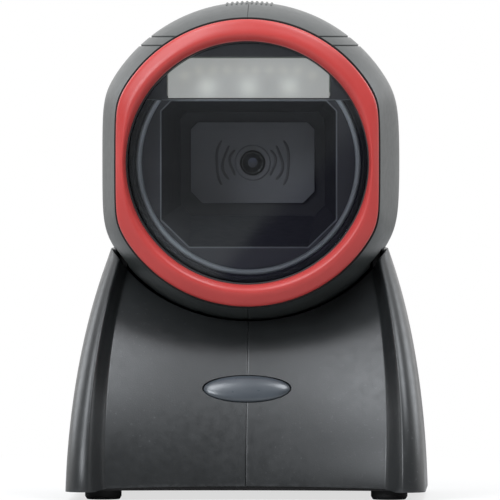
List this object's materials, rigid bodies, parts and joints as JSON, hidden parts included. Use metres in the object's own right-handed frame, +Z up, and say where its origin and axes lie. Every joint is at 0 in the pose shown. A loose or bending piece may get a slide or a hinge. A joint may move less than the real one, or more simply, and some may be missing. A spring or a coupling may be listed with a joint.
{
  "type": "desktop presentation barcode scanner",
  "caption": "Hands-free desktop barcode scanner: tilting ball-shaped imaging head with a red bezel on a flared two-half pedestal.",
  "frame": {"origin": "on the desk under the middle of the footprint", "axes": "+Z up, -Y is the direction the window faces, +X to the right of someone looking at the window"},
  "size_m": [0.108, 0.0972, 0.15],
  "materials": {
    "shell_black": "satin moulded ABS, fine texture",
    "bezel_coral": "satin coral-red moulded plastic",
    "frame_black": "matt black moulded plastic",
    "window_clear": "clear hard-coated acrylic",
    "mask_charcoal": "matt charcoal plastic",
    "diffuser": "translucent milky plastic",
    "reflector_white": "white moulded plastic",
    "pcb": "green solder mask",
    "led": "clear lens over phosphor",
    "steel": "zinc-plated steel",
    "yoke_black": "black e-coated steel sheet",
    "brass": "turned brass",
    "chip": "epoxy package",
    "lens": "coated glass",
    "lens_black": "black anodised barrel",
    "rubber_black": "matt rubber",
    "cable_black": "matt cable sheath",
    "ribbon": "flat ribbon",
    "flex": "amber polyimide",
    "washer_nylon": "natural acetal",
    "connector": "ivory nylon",
    "button_smoke": "glossy smoked translucent plastic",
    "plunger_red": "moulded plastic"
  },
  "bodies": {
    "base": {"base_shell_left": "shell_black", "base_shell_right": "shell_black", "base_plate": "frame_black", "base_screws": "steel", "ballast_plate": "steel", "ballast_screws": "steel", "rubber_feet": "rubber_black", "tilt_yoke": "yoke_black", "yoke_screws": "steel", "friction_washers": "washer_nylon", "interface_board": "pcb", "interface_screws": "steel", "interface_jack": "chip", "interface_headers": "connector", "base_harness": "cable_black", "button_guide": "frame_black", "button_board": "pcb", "button_screws": "steel", "tact_switch": "chip", "status_leds": "led", "button_harness": "cable_black"},
    "head": {"head_shell_left": "shell_black", "head_shell_right": "shell_black", "bezel_ring": "bezel_coral", "window_frame": "frame_black", "frame_screws": "steel", "window_gasket": "rubber_black", "window": "window_clear", "optics_mask": "mask_charcoal", "mask_screws": "steel", "lamp_diffuser": "diffuser", "lamp_reflector": "reflector_white", "lamp_board": "pcb", "lamp_board_screws": "steel", "large_leds": "led", "small_leds": "led", "light_tunnel": "mask_charcoal", "tunnel_screws": "steel", "camera_plate": "mask_charcoal", "lens_barrel": "lens_black", "lens_glass": "lens", "lens_mount": "chip", "image_sensor": "chip", "camera_board": "pcb", "camera_screws": "steel", "board_spacers": "brass", "decoder_board": "pcb", "decoder_chips": "chip", "board_screws": "steel", "buzzer": "chip", "lamp_ribbon": "ribbon", "camera_flex": "flex", "head_harness": "cable_black", "wave_washers": "steel", "retaining_washers": "steel", "pivot_screws": "steel"},
    "button": {"button_cap": "button_smoke"},
    "plunger": {"switch_plunger": "plunger_red"}
  },
  "joints": [
    {"name": "head_tilt", "type": "hinge", "parent": "base", "child": "head", "pos_m": [0, 0, 0.101], "axis": [-1, 0, 0], "range_deg": [-15, 15]},
    {"name": "button_press", "type": "slide", "parent": "base", "child": "button", "axis": [0, 0.847, -0.5316], "range_m": [0, 0.0005]},
    {"name": "plunger_press", "type": "slide", "parent": "base", "child": "plunger", "axis": [0, 0.847, -0.5316], "range_m": [0, 0.0005]}
  ],
  "couplings": [
    {"joint": "plunger_press", "follows": "button_press", "ratio": 1}
  ]
}
